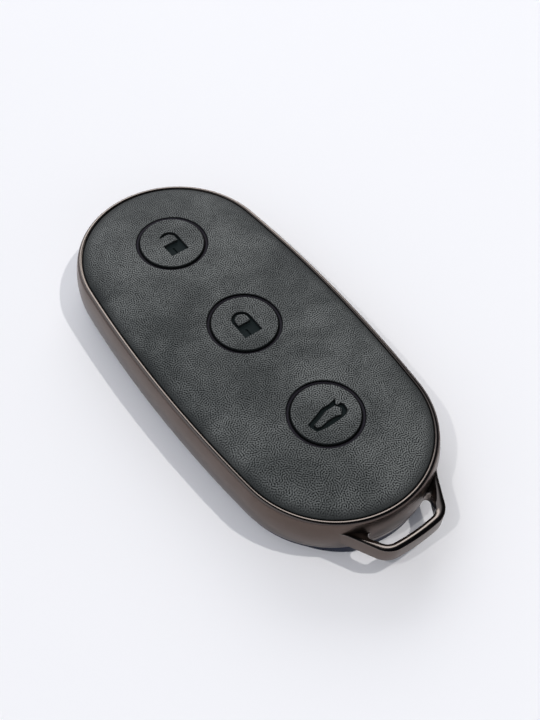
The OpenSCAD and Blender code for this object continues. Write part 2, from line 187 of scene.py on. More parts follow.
def addNode(tree, kind, values=None, **settings):
    # a node with its settings and its inputs' values
    node = tree.nodes.new(kind)
    for key, value in settings.items():
        setattr(node, key, value)
    for key, value in (values or {}).items():
        node.inputs[key].default_value = value
    return node


def mathNode(tree, operation, a, b=None, c=None, clamp=False):
    # operation(a, b, c), where each is a number or a socket
    node = addNode(tree, "ShaderNodeMath", operation=operation, use_clamp=clamp)
    for i, value in enumerate((a, b, c)):
        if value is None:
            continue
        if isinstance(value, (int, float)):
            node.inputs[i].default_value = value
        else:
            tree.links.new(value, node.inputs[i])
    return node.outputs[0]


def vectorNode(tree, operation, vector, *values):
    # operation(vector, values), where the vector is a socket and the values are fixed
    node = addNode(tree, "ShaderNodeVectorMath", dict(enumerate(values, 1)), operation=operation)
    tree.links.new(vector, node.inputs[0])
    return node


def mixColour(tree, factor, a, b):
    # a + factor * (b - a)
    node = addNode(tree, "ShaderNodeMix", data_type="RGBA")
    for socket, value in ((node.inputs[0], factor), (node.inputs[6], a), (node.inputs[7], b)):
        if isinstance(value, (int, float, tuple)):
            socket.default_value = value
        else:
            tree.links.new(value, socket)
    return node.outputs[2]


def ramp(tree, value, low, high):
    # a smooth step from 0 at "low" to 1 at "high": 3 t^2 - 2 t^3
    node = addNode(tree, "ShaderNodeMapRange", {"From Min": low, "From Max": high}, interpolation_type="SMOOTHSTEP")
    tree.links.new(value, node.inputs["Value"])
    return node.outputs["Result"]


def noiseAt(tree, vector, scale, detail):
    # plain noise at a place
    node = addNode(tree, "ShaderNodeTexNoise", {"Scale": scale, "Detail": detail})
    tree.links.new(vector, node.inputs["Vector"])
    return node


grainLook = {  # smooth steps (low, high) on the noises, and the finer band that breaks up the leather's ridges
    "ridge": (0.3, 0.7), "fineScale": 2600.0, "fineShare": 0.5, "clouds": (0.34, 0.68), "marks": (0.35, 0.68),
}


def buildGrainGroup():
    # leather: height = step(band-limited noise) + (fine noise - 0.5) * fineShare, so that ridges run like worms;
    # pits = 1 - height; clouds = step(slow noise), for the mottled colour
    g = grainLook
    group, gin, gout = newGroup("leatherGrain", [
        ("Vector", "NodeSocketVector", None), ("Zone Scale", "NodeSocketFloat", 840.0),
        ("Worms", "NodeSocketFloat", 2.8), ("Cloud Scale", "NodeSocketFloat", 70.0)],
        [("Height", "NodeSocketFloat"), ("Pits", "NodeSocketFloat"), ("Clouds", "NodeSocketFloat")])
    link = group.links.new
    zones = addNode(group, "ShaderNodeTexGabor", {"Anisotropy": 0.0})
    link(gin.outputs["Vector"], zones.inputs["Vector"])
    link(gin.outputs["Zone Scale"], zones.inputs["Scale"])
    link(gin.outputs["Worms"], zones.inputs["Frequency"])
    height = ramp(group, zones.outputs["Value"], *g["ridge"])
    fine = noiseAt(group, gin.outputs["Vector"], g["fineScale"], 0.0)
    change = mathNode(group, "SUBTRACT", fine.outputs["Fac"], 0.5)
    height = mathNode(group, "MULTIPLY_ADD", change, g["fineShare"], height, True)
    link(height, gout.inputs["Height"])
    link(mathNode(group, "SUBTRACT", 1.0, height), gout.inputs["Pits"])
    cloud = addNode(group, "ShaderNodeTexNoise", {"Detail": 4.0, "Roughness": 0.6, "Distortion": 0.4})
    link(gin.outputs["Vector"], cloud.inputs["Vector"])
    link(gin.outputs["Cloud Scale"], cloud.inputs["Scale"])
    link(ramp(group, cloud.outputs["Fac"], *g["clouds"]), gout.inputs["Clouds"])
    return group


def buildFinishGroup():
    # mould or plating texture: height = fine noise, marks = step(slow noise), as handling leaves them
    group, gin, gout = newGroup("surfaceFinish", [
        ("Vector", "NodeSocketVector", None), ("Fine Scale", "NodeSocketFloat", 4000.0),
        ("Slow Scale", "NodeSocketFloat", 120.0)],
        [("Height", "NodeSocketFloat"), ("Marks", "NodeSocketFloat")])
    fine = addNode(group, "ShaderNodeTexNoise", {"Detail": 3.0, "Roughness": 0.6})
    slow = addNode(group, "ShaderNodeTexNoise", {"Detail": 5.0, "Roughness": 0.62, "Distortion": 0.3})
    for node, label in ((fine, "Fine Scale"), (slow, "Slow Scale")):
        group.links.new(gin.outputs["Vector"], node.inputs["Vector"])
        group.links.new(gin.outputs[label], node.inputs["Scale"])
    group.links.new(fine.outputs["Fac"], gout.inputs["Height"])
    group.links.new(ramp(group, slow.outputs["Fac"], *grainLook["marks"]), gout.inputs["Marks"])
    return group


grainGroup = buildGrainGroup()
finishGroup = buildFinishGroup()


def newMaterial(name, shine):
    # a Principled material; constants go straight on to the shader's sockets
    material = bpy.data.materials.new(name)
    material.use_nodes = True
    tree = material.node_tree
    shader = next(n for n in tree.nodes if n.type == "BSDF_PRINCIPLED")
    for key, value in shine.items():
        shader.inputs[key].default_value = value
    place = addNode(tree, "ShaderNodeTexCoord")
    return material, tree, shader, place.outputs["Object"]


def addBump(tree, shader, height, distance):
    # the height (0 to 1) stands for a relief of "distance" metres
    bump = addNode(tree, "ShaderNodeBump", {"Strength": 1.0, "Distance": distance})
    tree.links.new(height, bump.inputs["Height"])
    tree.links.new(bump.outputs["Normal"], shader.inputs["Normal"])


def leatherMaterial(name, look):
    # colour = body tones mixed by the clouds, darkened in the pits; steep faces, where |normal z| is low, take the dark
    # edge colour as painted shade; towards the rim, where the leather is drawn down, the grain's colour gives way to an
    # even
    # dark tone: grain smoothed where the leather is drawn, darkened as painted shade
    material, tree, shader, place = newMaterial(name, {"Specular IOR Level": look["specular"], "Coat Weight": 0.0})
    grain = addNode(tree, "ShaderNodeGroup", node_tree=grainGroup)
    tree.links.new(place, grain.inputs["Vector"])
    for label, key in (("Zone Scale", "zones"), ("Worms", "worms"), ("Cloud Scale", "clouds")):
        grain.inputs[label].default_value = look[key]
    body = mixColour(tree, grain.outputs["Clouds"], look["dark"], look["light"])
    face = addNode(tree, "ShaderNodeNewGeometry")
    tilt = vectorNode(tree, "DOT_PRODUCT", face.outputs["Normal"], (0.0, 0.0, 1.0))
    level = mathNode(tree, "ABSOLUTE", tilt.outputs["Value"])
    flat, loose = ramp(tree, level, *look["edgeShadeTilt"]), ramp(tree, level, *look["tautTilt"])
    # painted shade: where the face dips towards the rim, the pit share is held at one dark value
    change = mathNode(tree, "SUBTRACT", grain.outputs["Pits"], look["tautPitsAndShade"])
    pits = mathNode(tree, "MULTIPLY_ADD", change, loose, look["tautPitsAndShade"])
    colour = mixColour(tree, mathNode(tree, "MULTIPLY", pits, look["pitDepth"]), body, look["pit"])
    # painted shade: steep faces take the dark edge colour
    tree.links.new(mixColour(tree, flat, look["edge"], colour), shader.inputs["Base Color"])
    rough = mathNode(tree, "MULTIPLY_ADD", grain.outputs["Pits"], look["roughRise"], look["rough"])
    tree.links.new(rough, shader.inputs["Roughness"])
    addBump(tree, shader, grain.outputs["Height"], look["bump"])
    return material


def grooveColour(tree, place, colour, groove):
    # rings by the distance to the nearest key's axis: black beside the disc, painted shade under its edge;
    # paler further out
    away = None
    for y in keyRows:
        reach = vectorNode(tree, "MULTIPLY_ADD", place, (1.0, 1.0, 0.0), (0.0, -y * mm, 0.0))
        distance = vectorNode(tree, "LENGTH", reach.outputs[0]).outputs["Value"]
        away = distance if away is None else mathNode(tree, "MINIMUM", away, distance)
    # painted shade: black band next to the disc's edge
    colour = mixColour(tree, ramp(tree, away, *groove["gapShadeFrom"]), colour, groove["black"])
    return mixColour(tree, ramp(tree, away, *groove["paleFrom"]), colour, groove["pale"])


def finishMaterial(name, look):
    # metal or plastic: colour = dark + marks * (light - dark), roughness = rough + marks * roughRise
    shine = {"Metallic": look.get("metallic", 0.0), "Specular IOR Level": look.get("specular", 0.5)}
    material, tree, shader, place = newMaterial(name, shine)
    finish = addNode(tree, "ShaderNodeGroup", node_tree=finishGroup)
    tree.links.new(place, finish.inputs["Vector"])
    finish.inputs["Fine Scale"].default_value = look["fine"]
    finish.inputs["Slow Scale"].default_value = look["slow"]
    colour = mixColour(tree, finish.outputs["Marks"], look["dark"], look["light"])
    rough = mathNode(tree, "MULTIPLY_ADD", finish.outputs["Marks"], look["roughRise"], look["rough"])
    if "polish" in look:  # polished edges carry the attribute "polish"
        edge = addNode(tree, "ShaderNodeAttribute", attribute_name="polish")
        rough = mathNode(tree, "MULTIPLY_ADD", edge.outputs["Fac"], look["polish"], rough, clamp=True)
        colour = mixColour(tree, edge.outputs["Fac"], colour, look["edge"])
    if "groove" in look:
        colour = grooveColour(tree, place, colour, look["groove"])
    tree.links.new(colour, shader.inputs["Base Color"])
    tree.links.new(rough, shader.inputs["Roughness"])
    addBump(tree, shader, finish.outputs["Height"], look["bump"])
    return material


print("stage: materials")
keyNames, keyRows = ("unlock", "lock", "tailgate"), (26.3, 1.55, -23.2)  # the keys' places along the cover
leatherLook = {
    "dark": (0.085, 0.091, 0.089, 1), "light": (0.18, 0.188, 0.183, 1), "pit": (0.003, 0.004, 0.004, 1),
    "pitDepth": 0.97, "zones": 840.0, "worms": 2.8, "clouds": 70.0, "rough": 0.46, "roughRise": 0.25,
    # the edge colour, laid on steep faces, is painted shade
    "bump": 0.00004, "specular": 0.2, "edge": (0.012, 0.014, 0.014, 1),
    # the taut value evens the pits to one dark tone, painted shade where the face dips to the rim
    "edgeShadeTilt": (0.3, 0.75), "tautTilt": (0.87, 0.988), "tautPitsAndShade": 0.85,
}
faceLeatherMat = leatherMaterial("grainedLeather", leatherLook)
backLeatherMat = leatherMaterial("backLeather", dict(
    leatherLook, dark=(0.06, 0.065, 0.064, 1), light=(0.1, 0.106, 0.103, 1)))
bronzeLook = {
    "metallic": 1.0, "dark": (0.112, 0.084, 0.071, 1), "light": (0.134, 0.103, 0.089, 1), "fine": 9000.0, "slow": 90.0,
    "rough": 0.3, "roughRise": 0.05, "polish": -0.17, "edge": (0.21, 0.18, 0.16, 1), "bump": 0.000001,
}
bronzeMat = finishMaterial("satinBronze", bronzeLook)
keyLook = {"dark": (0.0105, 0.0155, 0.016, 1), "light": (0.0135, 0.0195, 0.0205, 1), "fine": 5000.0, "slow": 200.0,
           "rough": 0.6, "roughRise": 0.1, "bump": 0.000002, "specular": 0.08}
keyGroove = {  # metres from the key's axis; the black band beside the disc is painted shade
    "black": (0.001, 0.001, 0.0012, 1), "gapShadeFrom": (0.00628, 0.00634),
    "pale": (0.02, 0.018, 0.024, 1), "paleFrom": (0.0066, 0.0068),
}
keyMat = finishMaterial("keyPlastic", dict(keyLook, groove=keyGroove))
rearMat = finishMaterial("rearPlastic", dict(
    keyLook, dark=(0.016, 0.02, 0.034, 1), light=(0.022, 0.027, 0.045, 1), fine=3500.0, rough=0.35))
carrierMat = finishMaterial("carrierPlastic", dict(
    keyLook, dark=(0.012, 0.012, 0.013, 1), light=(0.02, 0.02, 0.022, 1), fine=2200.0, rough=0.6, bump=0.00001))
siliconeMat = finishMaterial("siliconeRubber", dict(
    keyLook, dark=(0.02, 0.02, 0.02, 1), light=(0.032, 0.032, 0.032, 1), fine=3000.0, rough=0.7, bump=0.000004))
filmMat = finishMaterial("adhesiveFilm", dict(
    keyLook, dark=(0.006, 0.007, 0.008, 1), light=(0.01, 0.011, 0.012, 1), fine=1500.0, rough=0.6, bump=0.000006))
beadMat = finishMaterial("blackBead", dict(
    keyLook, dark=(0.003, 0.003, 0.003, 1), light=(0.006, 0.006, 0.006, 1), rough=0.5))
liningMat = finishMaterial("flockedLining", dict(
    keyLook, dark=(0.03, 0.031, 0.034, 1), light=(0.05, 0.051, 0.055, 1), fine=5200.0, slow=260.0, rough=0.92,
    roughRise=0.05, bump=0.00008, specular=0.2))

nodeMaterials = {
    "face_adhesive": filmMat, "rear_adhesive": filmMat, "front_carrier": carrierMat, "keypad_sheet": siliconeMat,
    "rear_cover": rearMat, "snap_tabs": rearMat,
}
for key in keyNames:
    nodeMaterials[key + "_cap"] = keyMat
    nodeMaterials[key + "_adhesive"] = filmMat
for node, material in nodeMaterials.items():
    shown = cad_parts[node]
    shown.data.materials.clear()
    shown.data.materials.append(material)

metalFrame = {  # heights, and distances out from the widest line; angles in degrees
    "bellyRadius": 16.0, "bellyUp": 6.8, "foot": 2.75, "rim": 11.2, "rimIn": -1.4, "wall": -2.2, "footChamfer": 0.2,
    "shoulder": 0.6, "lip": 0.05, "slope": 106, "ledge": 9.02, "catch": -1.95,
    "catchLevels": (8.0, 7.24, 5.18, 4.42), "polishFrom": 40, "polishOver": 40, "lipPolish": 0.3,
    "notchFoot": 4.85, "notchHalf": 8.5, "seamBevel": 0.08,
    "tongueGap": 0.06, "tongueTopGap": 0.12, "tongueBack": -2.3,
    "wallRows": 26, "shoulderRows": 12, "lipRows": 7, "tongueRows": 12, "tongueTurns": 40,
}


def wallPoints(low, high, count):
    # the bulged wall: out = sqrt(r^2 - (z - up)^2) - r
    z, r = np.linspace(low, high, count), metalFrame["bellyRadius"]
    return np.stack([np.sqrt(r ** 2 - (z - metalFrame["bellyUp"]) ** 2) - r, z], 1)


def frameSection(foot, chamfer):
    # the wall's closed section and its polish: the bulged outside, a shoulder arc tangent to it, a fine lip, then the
    # inside with its ledge and the two bands that the snap tabs catch on. Polish rises on the shoulder, by
    # (turn - polishFrom) / polishOver, and is lower on the lip
    m = metalFrame
    shoulderUp = m["rim"] - m["shoulder"]
    reach = m["bellyRadius"] - m["shoulder"]
    rise = math.degrees(math.asin((shoulderUp - m["bellyUp"]) / reach))
    shoulderOut = math.sqrt(reach ** 2 - (shoulderUp - m["bellyUp"]) ** 2) - m["bellyRadius"]
    tangentUp = m["bellyUp"] + m["bellyRadius"] * math.sin(math.radians(rise))
    outer = wallPoints(foot + chamfer, tangentUp, m["wallRows"])
    shoulder = arcPoints(shoulderOut, shoulderUp, m["shoulder"], rise, m["slope"], m["shoulderRows"])[1:]
    lip = arcPoints(m["rimIn"] + m["lip"], 0, m["lip"], m["slope"], 180, m["lipRows"])
    lip[:, 1] += shoulder[-1, 1] - lip[0, 1] + (shoulder[-1, 0] - lip[0, 0]) / math.tan(math.radians(m["slope"]))
    wall, catch, (a, b, c, d) = m["wall"], m["catch"], m["catchLevels"]
    d = max(d, foot)
    inside = [[m["rimIn"], m["ledge"]], [wall, m["ledge"]], [wall, a], [catch, a], [catch, b], [wall, b],
              [wall, c], [catch, c], [catch, d], [wall, d], [wall, foot]]
    lower = [[outer[0, 0] - chamfer, foot]]
    points = np.concatenate([lower, outer, shoulder, lip, inside])
    turned = np.linspace(rise, m["slope"], m["shoulderRows"])[1:]
    polish = np.concatenate([np.zeros(1 + len(outer)), np.clip((turned - m["polishFrom"]) / m["polishOver"], 0, 1),
                             np.full(len(lip), m["lipPolish"]), np.zeros(len(inside))])
    return points, polish


def buildFrameWall():
    # the section swept once round the outline; across the notch for the tongue a section with a higher foot
    m = metalFrame
    full, polish = frameSection(m["foot"], m["footChamfer"])
    notched, _ = frameSection(m["notchFoot"], m["seamBevel"])
    half = math.asin(m["notchHalf"] / outline["endRadius"])
    edges = np.array([1.5 * math.pi - half, 1.5 * math.pi + half])
    angle = np.sort(np.concatenate([outlineAngles(), edges, edges]))
    inNotch = (angle > edges[0]) & (angle < edges[1])
    inNotch[np.nonzero(angle == edges[0])[0][1]] = True
    inNotch[np.nonzero(angle == edges[1])[0][0]] = True
    section = np.where(inNotch[:, None, None], notched[None], full[None])
    points = roundSweep(section, angle)
    piece = newPiece("frameWall", points, gridFaces(len(angle), len(full), True, True), "front_half", bronzeMat,
                     "bronze_metal", ["front_frame"])
    addPolish(piece, polish, len(angle))
    mergeMesh(piece.data, 1e-7)
    return piece


def buildTongue():
    # the wall's own bulge, from the foot to a gap below the notch's seam, swept over the notch less a gap at each end
    m = metalFrame
    half = math.asin(m["notchHalf"] / outline["endRadius"]) - m["tongueGap"] / outline["endRadius"]
    angle = np.linspace(1.5 * math.pi - half, 1.5 * math.pi + half, m["tongueTurns"])
    top = m["notchFoot"] - m["tongueTopGap"]
    outer = wallPoints(m["foot"] + m["footChamfer"], top - m["seamBevel"], m["tongueRows"])
    section = np.concatenate([[[outer[0, 0] - m["footChamfer"], m["foot"]]], outer,
                              [[outer[-1, 0] - m["seamBevel"], top], [m["tongueBack"], top],
                               [m["tongueBack"], m["foot"]]]])
    piece = newPiece("tongueMetal", roundSweep(section, angle), cappedFaces(len(angle), len(section)), "rear_half",
                     bronzeMat, "bronze_metal", ["end_tongue"])
    addPolish(piece, np.zeros(len(section)), len(angle))
    mergeMesh(piece.data)
    return piece


print("stage: metal frame")
frameWall = buildFrameWall()
tongueMetal = buildTongue()

keyLoop = {  # plan, then the strap's section; barEnd and bendEnd count the plan's points from the middle of the bar
    "reach": 4.9, "thick": 1.6, "low": 5.35, "top": 8.9, "barRadius": 42.0, "cornerX": 4.0, "cornerRadius": 4.1,
    "lean": 28.5, "flareRadius": 10.0, "eyeRadius": 0.8, "sink": 0.4,
    "ridge": 0.25, "crownRadius": 2.2, "barRidge": 0.6, "barCrown": 1.1, "barEnd": 14, "bendEnd": 36,
    "edgeRound": 0.14, "footRound": 0.25, "widen": 0.7, "outerTurn": 114, "innerTurn": 60,
    "barPoints": 14, "bendPoints": 22, "armPoints": 12, "rootPoints": 20, "crownPoints": 18, "roundPoints": 6,
}


def turnPoints(centre, radius, start, stop, count):
    # arc by direction of the outward normal, in radians from -Y: (x, y, direction)
    a = np.linspace(start, stop, count)
    return np.stack([centre[0] + radius * np.sin(a), centre[1] - radius * np.cos(a), a], 1)


def armMeets(start, radius, along, endRadius, endY):
    # where a circle that rides along the arm touches the wall's: first root of |start + s * along| = sum of radii
    origin = start + np.array([0, endY])
    step = -origin @ along - math.sqrt((origin @ along) ** 2 - origin @ origin + (endRadius + radius) ** 2)
    return origin + step * along - np.array([0, endY])


def loopPaths():
    # outer and inner edge in plan with equal counts: bar arc, corner arc, straight arm, then a flare outside and
    # a fillet inside, both tangent to the wall
    k, endR, endY = keyLoop, outline["endRadius"], outline["endY"]
    barY = -endY - endR - k["reach"] + k["barRadius"]
    barTurn = math.asin(k["cornerX"] / (k["barRadius"] - k["cornerRadius"]))
    corner = np.array([k["cornerX"], barY - (k["barRadius"] - k["cornerRadius"]) * math.cos(barTurn)])
    armTurn = math.radians(90 - k["lean"])
    along = np.array([math.cos(armTurn), math.sin(armTurn)])
    across = np.array([along[1], -along[0]])
    start = corner + k["cornerRadius"] * across
    flare = armMeets(start + k["flareRadius"] * across, k["flareRadius"], along, endR - k["sink"], endY)
    eye = armMeets(start - (k["thick"] + k["eyeRadius"]) * across, k["eyeRadius"], along, endR, endY)
    flareTurn, eyeTurn = (math.atan2(c[0], -(c[1] + endY)) for c in (flare, eye))
    bar = turnPoints((0, barY), k["barRadius"], 0, barTurn, k["barPoints"])
    bend = turnPoints(corner, k["cornerRadius"], barTurn, armTurn, k["bendPoints"])[1:]
    share = np.linspace(0, 1, k["armPoints"] + 2)[1:-1, None]

    def straight(first, last):  # evenly spaced points between two ends
        return first + share * (last - first)

    outEnd = turnPoints(flare, -k["flareRadius"], armTurn, flareTurn, k["rootPoints"])[:, :2]
    inEnd = turnPoints(eye, k["eyeRadius"], armTurn, math.pi + eyeTurn, k["rootPoints"])[:, :2]
    inward = np.concatenate([bar, bend])
    inner = inward[:, :2] - k["thick"] * np.stack([np.sin(inward[:, 2]), -np.cos(inward[:, 2])], 1)
    root = (endR - k["sink"]) * np.array([[math.sin(eyeTurn), -math.cos(eyeTurn)]]) - [0, endY]
    inner = np.concatenate([inner, straight(inner[-1], inEnd[0]), inEnd, root])
    outer = np.concatenate([inward[:, :2], straight(bend[-1, :2], outEnd[0]), outEnd, outEnd[-1:]])
    return outer, inner


def buildLoop():
    # plan = outer + share * (inner - outer); top = height - (depth - ridge)^2 / (2 * crownRadius) * wide^widen, with
    # another ridge and radius along the bar than along the arms
    k, rows = keyLoop, keyLoop["roundPoints"]
    outer, inner = loopPaths()
    flip = np.array([-1, 1])
    outer, inner = (np.concatenate([p[:0:-1] * flip, p]) for p in (outer, inner))
    e, f = k["edgeRound"], k["footRound"]
    depth = np.linspace(e, k["thick"] - e, k["crownPoints"])
    low = np.concatenate([arcPoints(k["thick"] - f, k["low"] + f, f, 0, -90, rows),
                          arcPoints(f, k["low"] + f, f, 270, 180, rows)])
    edges = (arcPoints(e, -e, e, 180, k["outerTurn"], rows),
             arcPoints(k["thick"] - e, -e, e, k["innerTurn"], 0, rows))
    across = np.concatenate([edges[0][:, 0], depth[1:-1], edges[1][:, 0], low[:, 0]])
    gap = np.hypot(*(inner - outer).T)
    wide = np.clip(gap / k["thick"], 1, None)[:, None]
    fromBar = np.abs(np.arange(len(outer)) - len(outer) // 2)[:, None]
    bar = np.clip((k["bendEnd"] - fromBar) / (k["bendEnd"] - k["barEnd"]), 0, 1)
    ridge = k["ridge"] + (k["barRidge"] - k["ridge"]) * bar
    crownRadius = k["crownRadius"] + (k["barCrown"] - k["crownRadius"]) * bar
    crownUp = k["top"] - (depth[None] - ridge) ** 2 / (2 * crownRadius) * wide ** k["widen"]
    up = np.concatenate([crownUp[:, :1] + edges[0][:, 1], crownUp[:, 1:-1], crownUp[:, -1:] + edges[1][:, 1],
                         np.broadcast_to(low[:, 1], (len(outer), len(low)))], 1)
    plan = outer[:, None] + (across / k["thick"])[None, :, None] * (inner - outer)[:, None]
    points = np.concatenate([plan, up[..., None]], -1)
    count, n = points.shape[:2]
    piece = newPiece("loopStrap", points, cappedFaces(count, n, True), "front_half", bronzeMat, "bronze_metal",
                     ["front_frame"])
    addPolish(piece, np.concatenate([np.zeros(2), np.ones(n - len(low) - 2), np.zeros(len(low))]), count)
    mergeMesh(piece.data, sharp=40)
    return piece


print("stage: key loop")
loopStrap = buildLoop()

faceLeather = {  # "beyond" is a length past any edge, where the search for the edge starts
    "edge": 1.66, "edgeRound": 0.14, "dip": 0.3, "dipWide": 2.2, "window": 7.15, "windowRound": 0.18, "thick": 0.4,
    "edgeSpread": 1.3, "rows": 40, "wideSpan": 72, "narrowSpan": 36, "windowRows": 5, "edgeRows": 8,
    "beyond": 60.0, "pastEnd": 9, "halvings": 46,
}


def thicken(piece, thick):
    # an open sheet gets its thickness downward; one of its faces tells whether they look up
    if piece.data.polygons[10].normal.z < 0:
        piece.data.flip_normals()
    shadeSoft(piece.data, 60)
    body = piece.modifiers.new("thickness", "SOLIDIFY")
    body.thickness, body.offset = thick * mm, -1


def rolled(distance, radius):
    # drop of a rounded edge: radius - sqrt(radius^2 - (radius - distance)^2)
    d = np.clip(radius - distance, 0, radius)
    return radius - np.sqrt(radius ** 2 - d ** 2)


def buildFaceLeather():
    # one sheet in three cells, each a fan of rays from a key's window out to the cell's edge; it dips towards the rim
    # by dip * (1 - distance / dipWide)^2
    f, beyond = faceLeather, faceLeather["beyond"]
    past = outline["endY"] + outline["endRadius"] + f["pastEnd"]
    cuts = [past, (keyRows[0] + keyRows[1]) / 2, (keyRows[1] + keyRows[2]) / 2, -past]
    parts = []
    for keyY, high, low in zip(keyRows, cuts, cuts[1:]):
        corners = []
        for cut in (low, high):
            if abs(cut) < outline["endY"]:
                x = math.sqrt((outline["sideRadius"] - f["edge"]) ** 2 - cut ** 2) - outline["sideX"]
                corners += [math.atan2(cut - keyY, x), math.atan2(cut - keyY, -x)]
        corners = sorted(a % (2 * math.pi) for a in corners)
        spans = list(zip(corners, corners[1:] + [corners[0] + 2 * math.pi]))
        angle = np.concatenate([np.linspace(a, b, f["wideSpan"] if b - a > 1 else f["narrowSpan"], endpoint=False)
                                for a, b in spans])
        c, s = np.cos(angle), np.sin(angle)
        near, far = np.full(len(angle), f["window"]), np.full(len(angle), beyond)
        for _ in range(f["halvings"]):  # halve the stretch of the ray that crosses the leather's edge
            middle = (near + far) / 2
            inside = insetAt(middle * c, keyY + middle * s) > f["edge"]
            near, far = np.where(inside, middle, near), np.where(inside, far, middle)
        with np.errstate(divide="ignore"):
            reach = np.minimum(near, np.where(s > 1e-9, (high - keyY) / s, beyond))
            reach = np.minimum(reach, np.where(s < -1e-9, (low - keyY) / s, beyond))
        first = f["windowRound"] * (1 - np.cos(np.linspace(0, math.pi / 2, f["windowRows"])))
        last = f["edgeRound"] * f["edgeSpread"] * (1 - np.cos(np.linspace(0, math.pi / 2, f["edgeRows"])))[::-1]
        part = np.linspace(0, 1, f["rows"])[1:-1]
        stretch = reach - f["window"]
        ray = np.concatenate([f["window"] + first[:, None] + 0 * stretch,
                              f["window"] + first[-1] + part[:, None] * (stretch - first[-1] - last[0]),
                              f["window"] + stretch - last[:, None]])
        x, y = ray * c, keyY + ray * s
        fromEdge = insetAt(x, y) - f["edge"]
        z = crownAt(x, y) - f["dip"] * np.clip(1 - fromEdge / f["dipWide"], 0, 1) ** 2
        z -= rolled(fromEdge, f["edgeRound"]) + rolled(ray - f["window"], f["windowRound"])
        parts.append((np.stack([x, y, z], -1).reshape(-1, 3), gridFaces(len(ray), len(angle), False, True)))
    piece = newPiece("leatherFace", *joinParts(parts), "front_half", faceLeatherMat, "grained_leather",
                     ["face_leather"])
    mergeMesh(piece.data, 3e-6)
    thicken(piece, f["thick"])
    return piece


print("stage: leather face")
leatherFace = buildFaceLeather()

keyDiscs = {  # "icon" is a padlock's height and "car" the scale of its outline; the padlock's parts are shares of it
    "radius": 6.35, "top": 13.6, "low": 13.0, "round": 0.16, "cutRound": 0.09, "icon": 5.9, "line": 0.6,
    "bodyWide": 0.66, "bodyTall": 0.52, "drop": 0.51, "shackle": 0.33, "open": 0.36, "car": 7.788,
    "rimPoints": 120, "rollRows": 5, "shutPoints": 25, "openPoints": (22, 18), "sharpest": 0.35,
}
carOutline = [(-.52, -.01), (-.24, .08), (-.02, .16), (.22, .16), (.42, .2), (.335, .08), (.35, .03), (.46, .04),
              (.5, -.05), (.47, -.2), (.37, -.28), (.15, -.31), (-.17, -.32), (-.35, -.3), (-.48, -.27), (-.53, -.08)]
carCabin = [(-.42, -.09), (-.23, -.045), (.005, .05), (.3, .055), (.38, -.1), (.265, -.225), (.14, -.185), (-.08, -.18),
            (-.29, -.22), (-.405, -.2)]


def padlockContours(unlocked):
    # the cut-outs of a padlock: body with its shackle, and the leather island that the shackle encloses
    k = keyDiscs
    size, half = k["icon"], k["icon"] * k["bodyWide"] / 2
    drop, base = -size * k["drop"], size * (k["bodyTall"] - k["drop"])
    r = size * k["shackle"]
    rise = size * (1 - k["drop"]) - r
    thin = r - k["line"]
    if unlocked:
        cut = base + size * k["open"] - rise
        ends = [180 - math.degrees(math.asin(cut / edge)) for edge in (r, thin)]
        over, under = (arcPoints(0, rise, edge, *turn, count) for edge, turn, count in
                       zip((r, thin), ((0, ends[0]), (ends[1], 0)), k["openPoints"]))
        return np.concatenate([[[-half, drop], [half, drop]], over, under, [[thin, base], [-half, base]]]), []
    over, within = (arcPoints(0, rise, edge, 0, 180, k["shutPoints"]) for edge in (r, thin))
    cutOut = np.concatenate([[[-half, drop], [half, drop]], over])
    return cutOut, [np.concatenate([[[-thin, base], [thin, base]], within])]


def innerOffset(loop, distance):
    # corner + (n0 + n1) / (1 + n0 . n1) * distance, with its two edges' normals, held back where the corner is
    # sharp; loops run anticlockwise, and positive is to the left
    before, after = loop - np.roll(loop, 1, 0), np.roll(loop, -1, 0) - loop
    n0 = np.stack([-before[:, 1], before[:, 0]], 1) / np.linalg.norm(before, axis=1)[:, None]
    n1 = np.stack([-after[:, 1], after[:, 0]], 1) / np.linalg.norm(after, axis=1)[:, None]
    turn = np.clip(1 + (n0 * n1).sum(1), keyDiscs["sharpest"], 2)
    return loop + (n0 + n1) / turn[:, None] * distance


def anticlockwise(loop):
    # the loop, turned round where its signed area (shoelace formula) is negative
    x, y = loop.T
    return loop if (x * np.roll(y, -1) - y * np.roll(x, -1)).sum() > 0 else loop[::-1]


